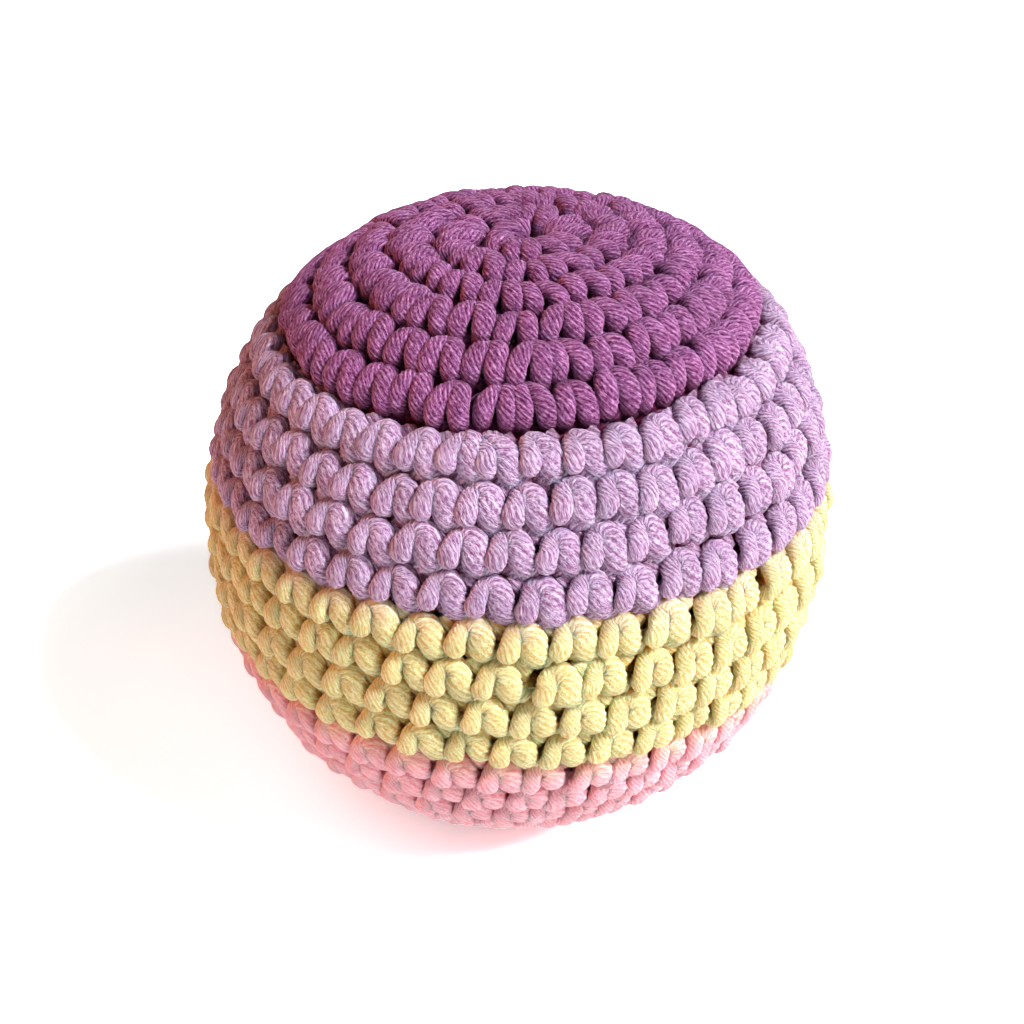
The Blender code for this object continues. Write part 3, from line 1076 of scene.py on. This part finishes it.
@dataclass
class Liner:
    """The cloth bag inside the crochet, gathered into a tied neck and filled with pellets."""

    wall: Wall
    gap: float = 0.0003
    cloth: float = 0.0004
    neck_radius: float = 0.0017
    neck_length: float = 0.0034
    neck_room: float = 0.0022
    neck_lip: float = 0.0006
    dimple_radius: float = 0.0075
    pleats: int = 18
    pleat_depth: float = 0.00022
    turn_steps: int = 144
    profile_steps: int = 40
    dimple_steps: int = 10
    fill: float = 0.9
    thread_radius: float = 0.00022
    thread_turns: float = 3.0
    thread_points: int = 90
    thread_roundness: int = 2
    tie_height_share: float = 0.45
    pellet_radius: float = 0.0017
    pellet_spacing: float = 0.0037
    pellet_flatness: float = 0.75
    pellet_segments: int = 8
    pellet_rings: int = 5
    pellet_seed: int = 23

    @property
    def inset(self) -> float:
        """Depth of the cloth's outer face under the bag's outside."""
        return self.wall.fabric + self.gap

    @property
    def neck_top(self) -> float:
        """Height at which the neck leaves the bag."""
        knot_top = self.wall.fabric - self.wall.rest_flat_depth
        return knot_top + self.neck_room + self.neck_length

    def profile(self, inset: float, dimple_radius: float) -> list:
        """The bag's outline, down its side and up its dimple to the neck.

        Args:
            inset: Depth under the bag's outside.
            dimple_radius: Where the dimple starts, from the axis.

        Returns:
            Points as (out, height) pairs.
        """
        across, upright = self.wall.width / 2 - inset, self.wall.height / 2 - inset
        last = math.pi - math.asin(dimple_radius / across)
        points = []
        for step in range(self.profile_steps + 1):
            angle = last * step / self.profile_steps
            points.append((across * math.sin(angle), self.wall.centre_height + upright * math.cos(angle)))
        low_out, low_height = points[-1]
        for step in range(1, self.dimple_steps + 1):
            along = step / self.dimple_steps
            rise = (1 - math.cos(math.pi * along)) / 2
            out = low_out + (self.neck_radius - low_out) * along
            points.append((out, low_height + (self.neck_top - low_height) * rise))
        return points

    def bag(self) -> None:
        """The stuffed cloth bag with its pleated neck."""
        points = self.profile(self.inset, self.dimple_radius)
        points.append((self.neck_radius, self.neck_top - self.neck_length + self.neck_lip))
        points.append((self.neck_radius + self.neck_lip, self.neck_top - self.neck_length))
        shape = bmesh.new()
        corners = [shape.verts.new((out, 0.0, height)) for out, height in points]
        edges = [shape.edges.new(pair) for pair in zip(corners, corners[1:])]
        turn = {"axis": (0, 0, 1), "angle": FULL_TURN, "steps": self.turn_steps, "use_merge": True}
        bmesh.ops.spin(shape, geom=corners + edges, **turn)
        bmesh.ops.remove_doubles(shape, verts=shape.verts, dist=MERGE_DISTANCE)
        for vert in shape.verts:
            self.pleat(vert)
        bmesh.ops.recalc_face_normals(shape, faces=shape.faces)
        bmesh.ops.solidify(shape, geom=shape.faces, thickness=self.cloth)
        bmesh.ops.recalc_face_normals(shape, faces=shape.faces)
        mesh = self.finished_mesh("liner_bag", shape)
        bag = add_piece("liner_bag", mesh, LINER_CLOTH.material(), "liner_cloth")

    def pleat(self, vert: bmesh.types.BMVert) -> None:
        """Draws a point near the neck in or out with the pleats.

        Args:
            vert: The point.
        """
        out = math.hypot(vert.co.x, vert.co.y)
        low = vert.co.z < self.wall.centre_height
        if not low or out > self.dimple_radius or out < MERGE_DISTANCE:
            return
        turn = math.atan2(vert.co.y, vert.co.x)
        gathered = 1.0 - (out - self.neck_radius) / self.dimple_radius
        fold = self.pleat_depth * gathered * math.sin(self.pleats * turn)
        vert.co.x += fold * math.cos(turn)
        vert.co.y += fold * math.sin(turn)

    def finished_mesh(self, name: str, shape: bmesh.types.BMesh) -> Mesh:
        """A smooth mesh, leaned with the bag.

        Args:
            name: The mesh's name.
            shape: Its shape, which is freed.

        Returns:
            The mesh.
        """
        mesh = bpy.data.meshes.new(name)
        shape.to_mesh(mesh)
        shape.free()
        mesh.shade_smooth()
        mesh.vertices.foreach_set("co", self.wall.lean(corners_of(mesh)).ravel())
        return mesh

    def tie(self) -> None:
        """The thread wound round the neck."""
        steps = np.linspace(0.0, 1.0, self.thread_points)
        turn = FULL_TURN * self.thread_turns * steps
        out = self.neck_radius + self.pleat_depth + self.gap + self.thread_radius
        middle = self.neck_top - self.neck_length * self.tie_height_share
        height = middle + (steps - 0.5) * self.thread_turns * 2 * self.thread_radius
        curve = path_curve("liner_tie", np.column_stack((out * np.cos(turn), out * np.sin(turn), height)))
        curve.bevel_depth = self.thread_radius
        curve.bevel_resolution = self.thread_roundness
        curve.use_fill_caps = True
        shape = bmesh.new()
        shape.from_mesh(mesh_of(curve))
        bmesh.ops.remove_doubles(shape, verts=shape.verts, dist=MERGE_DISTANCE)
        bmesh.ops.recalc_face_normals(shape, faces=shape.faces)
        add_piece("liner_tie", self.finished_mesh("liner_tie", shape), TIE_THREAD.material(), "tie_thread")

    def pellets(self) -> None:
        """Loose pellets, packed in layers that are a little out of order."""
        chance = random.Random(self.pellet_seed)
        profile = self.profile(self.inset + self.cloth + self.gap, self.dimple_radius + self.cloth + self.gap)
        pattern = self.pellet()
        corners = np.array([vert.co for vert in pattern.verts])
        faces = [[vert.index for vert in face.verts] for face in pattern.faces]
        pattern.free()
        all_corners, all_faces = [], []
        for number, spot in enumerate(spot for spot in self.lattice() if self.inside(spot, profile)):
            turned = Euler([chance.uniform(0, math.pi) for _ in range(3)]).to_matrix()
            all_corners.append(corners @ np.array(turned).T + np.array(spot))
            shift = number * len(corners)
            all_faces.extend([corner + shift for corner in face] for face in faces)
        mesh = bpy.data.meshes.new("pellet_filling")
        mesh.from_pydata(self.wall.lean(np.vstack(all_corners)), [], all_faces)
        mesh.shade_smooth()
        add_piece("pellet_filling", mesh, PELLET_PLASTIC.material(), "pellets")

    def pellet(self) -> bmesh.types.BMesh:
        """One lentil-shaped pellet at the origin.

        Returns:
            Its shape.
        """
        shape = bmesh.new()
        bmesh.ops.create_uvsphere(
            shape,
            u_segments=self.pellet_segments,
            v_segments=self.pellet_rings,
            radius=self.pellet_radius,
            matrix=Matrix.Diagonal((1.0, 1.0, self.pellet_flatness, 1.0)),
        )
        shape.verts.index_update()
        return shape

    def lattice(self) -> list:
        """Places in closely packed layers, wider than the bag.

        Returns:
            The places, layer by layer.
        """
        layer_height = self.pellet_spacing * math.sqrt(2 / 3)
        row_width = self.pellet_spacing * math.sqrt(3) / 2
        reach = int(self.wall.width / row_width / 2) + 1
        places = []
        for layer in range(int(self.wall.height / layer_height)):
            odd_layer = layer % 2
            for row in range(-reach, reach + 1):
                back = (row + odd_layer * 2 / 3) * row_width
                for place in range(-reach, reach + 1):
                    across = (place + (row % 2 + odd_layer) / 2) * self.pellet_spacing
                    places.append(Vector((across, back, layer * layer_height)))
        return places

    def inside(self, spot: Vector, profile: list) -> bool:
        """Whether a pellet at this spot clears the bag's cloth and its dimple.

        Args:
            spot: The pellet's middle.
            profile: The cloth's inside as (out, height) pairs.

        Returns:
            True where it does.
        """
        out = math.hypot(spot.x, spot.y)
        room = self.pellet_radius
        across = max(point[0] for point in profile) - room
        upright = profile[0][1] - self.wall.centre_height - room
        height = spot.z - self.wall.centre_height
        if (out / across) ** 2 + (height / upright) ** 2 > 1.0:
            return False
        return spot.z > self.neck_top + 2 * room or out > self.dimple_radius + 2 * room

    def build(self) -> None:
        """Adds the bag, its tie and what fills it."""
        self.bag()
        self.tie()
        self.pellets()


def facing(aim: Vector, way: Vector, distance: float) -> Matrix:
    """The place of a lamp or camera that stands this way from its aim and looks back at it."""
    turned = way.to_track_quat("Z", "Y").to_matrix().to_4x4()
    return Matrix.Translation(aim + way * distance) @ turned


class LampKind(Enum):
    """The studio's kinds of lamp, by Blender's names."""

    SOFTBOX = "AREA"
    SNOOT = "SPOT"


@dataclass(frozen=True)
class Lamp:
    """A lamp that faces the bag.

    Its direction and its reach are where it stands, seen from the bag. Its size is a softbox's side, or the
    radius that a snoot lights at the bag. Its power is in watts.
    """

    name: str
    kind: LampKind
    direction: tuple
    reach: float
    size: float
    power: float
    colour: str
    snoot_blend: float = 0.3
    snoot_softness: float = 0.02

    def build(self, aim: Vector) -> Object:
        """Adds the lamp.

        Args:
            aim: The bag's middle.

        Returns:
            The lamp in its place.
        """
        data = bpy.data.lights.new(self.name, self.kind.value)
        if self.kind is LampKind.SNOOT:
            data.spot_size = 2 * math.atan2(self.size, self.reach)
            data.spot_blend = self.snoot_blend
            data.shadow_soft_size = self.snoot_softness
        else:
            data.size = self.size
        data.energy = self.power
        data.color = linear(self.colour)[:3]
        lamp = add_object(self.name, data)
        lamp.matrix_world = facing(aim, Vector(self.direction).normalized(), self.reach)
        return lamp


KEY = Lamp("key", LampKind.SOFTBOX, (0.9, -0.5, 1.1), 1.2, size=0.35, power=12.2, colour="F8F8FF")
FRONT = Lamp("front", LampKind.SOFTBOX, (0.6, -1.0, 0.06), 1.2, size=0.6, power=8.0, colour="FFF8F4")
WARM_FILL = Lamp("fill", LampKind.SNOOT, (-1.0, 0.0, 0.3), 0.9, size=0.055, power=16.0, colour="FF8E38")
PAPER_LAMP = Lamp("paper", LampKind.SOFTBOX, (-0.6, -0.7, 1.0), 1.2, size=1.2, power=6.0, colour="FFFFFF")


@dataclass
class Studio:
    """A pale floor, soft lamps and the camera, as the bag was photographed."""

    wall: Wall
    distance: float = 0.171
    elevation: float = math.radians(32)
    roll: float = math.radians(-2.0)
    lens: float = 64.6
    clip_start: float = 0.01
    centre_right_px: float = 3.5
    centre_up_px: float = 4.5
    image_px: float = 1024.0
    paper: str = "F0ECEA"
    floor_size: float = 3.0
    floor_lift: float = 2.6
    floor_lift_far: float = 12.0
    floor_near: float = 0.05
    floor_far: float = 0.45
    floor_cool: tuple = (0.95, 1.0, 1.0)
    air: str = "4C4846"
    backdrop: str = "FFFFFF"
    warmed: Collection = field(default_factory=lambda: bpy.data.collections.new("bag"))
    paled: Collection = field(default_factory=lambda: bpy.data.collections.new("paper"))

    def camera(self) -> None:
        """The camera at the photograph's angle."""
        direction = Vector((0, -math.cos(self.elevation), math.sin(self.elevation)))
        data = bpy.data.cameras.new("camera")
        data.lens = self.lens
        data.shift_x = -self.centre_right_px / self.image_px
        data.shift_y = -self.centre_up_px / self.image_px
        data.clip_start = self.clip_start
        camera = add_object("camera", data)
        place = facing(Vector(self.wall.middle), direction, self.distance)
        camera.matrix_world = place @ Matrix.Rotation(-self.roll, 4, "Z")
        bpy.context.scene.camera = camera

    def lamps(self) -> None:
        """The lamps, one of which warms the bag alone and one of which lights the paper alone."""
        aim = Vector(self.wall.middle)
        for lamp in (KEY, FRONT):
            lamp.build(aim)
        WARM_FILL.build(aim).light_linking.receiver_collection = self.warmed
        PAPER_LAMP.build(aim).light_linking.receiver_collection = self.paled

    def floor(self) -> None:
        """A pale floor that shows white but keeps the bag's shadow."""
        mesh = bpy.data.meshes.new("floor")
        shape = bmesh.new()
        bmesh.ops.create_grid(shape, x_segments=1, y_segments=1, size=self.floor_size)
        shape.to_mesh(mesh)
        shape.free()
        matt = {"Roughness": 1.0, "Specular IOR Level": 0.0}
        material, tree, shader = Finish("matt_white_paper").start(matt)
        place = add_node(tree, "TexCoord", {}, out="Object")
        away = add_node(tree, "VectorMath", {"operation": "LENGTH"}, {0: place}, "Value")
        span = {"From Min": self.floor_near, "From Max": self.floor_far}
        lifts = {"To Min": self.floor_lift, "To Max": self.floor_lift_far}
        lift = add_node(tree, "MapRange", span | lifts, {"Value": away})
        bright = add_node(tree, "VectorMath", {"operation": "MULTIPLY", 1: self.floor_cool}, {0: lift})
        paper = {"data_type": "RGBA", MIX_FIRST: linear(self.paper)}
        colour = add_node(tree, "Mix", paper, {MIX_SHARE: self.seen(tree), MIX_SECOND: bright}, MIXED)
        tree.links.new(colour, shader.inputs["Base Color"])
        mesh.materials.append(material)
        floor = add_object("floor", mesh)
        self.paled.objects.link(floor)

    def seen(self, tree: NodeTree) -> NodeSocket:
        """Where the camera, a gloss or glass sees a surface, and not where it only lights the bag.

        Args:
            tree: The node tree.

        Returns:
            The socket of a value that is 1 there and 0 elsewhere.
        """
        seen = add_node(tree, "LightPath", {}, out="Is Camera Ray")
        for ray in ("Is Glossy Ray", "Is Transmission Ray"):
            other = add_node(tree, "LightPath", {}, out=ray)
            seen = add_node(tree, "Math", {"operation": "MAXIMUM"}, {0: seen, 1: other})
        return seen

    def world(self) -> None:
        """White air behind the bag, which lights it only a little."""
        world = bpy.data.worlds.new("studio_air")
        world.use_nodes = True
        tree = world.node_tree
        airs = {"data_type": "RGBA", MIX_FIRST: linear(self.air), MIX_SECOND: linear(self.backdrop)}
        light = add_node(tree, "Mix", airs, {MIX_SHARE: self.seen(tree)}, MIXED)
        tree.links.new(light, tree.nodes["Background"].inputs["Color"])
        bpy.context.scene.world = world

    def build(self) -> None:
        """Adds the whole studio."""
        self.camera()
        self.lamps()
        self.floor()
        self.world()
        bpy.context.scene.view_settings.view_transform = "Standard"


def main() -> None:
    """Builds the studio and every piece of the bag."""
    wall = Wall()
    studio = Studio(wall)
    studio.build()
    yarn = Yarn()
    section = yarn.section()
    finishes = {colour: finish.material() for colour, finish in YARN_FINISHES.items()}
    for number in range(1, wall.rounds + 1):
        CrochetRound(number, wall, yarn, section, finishes[YarnColour.of_round(number)]).build()
    YarnEnds(wall, yarn, section, finishes).build()
    bpy.data.objects.remove(section)
    Liner(wall).build()
    for piece in bpy.context.scene.objects:
        if piece.name.startswith(DRESSED):
            studio.warmed.objects.link(piece)


if __name__ == "__main__":
    main()
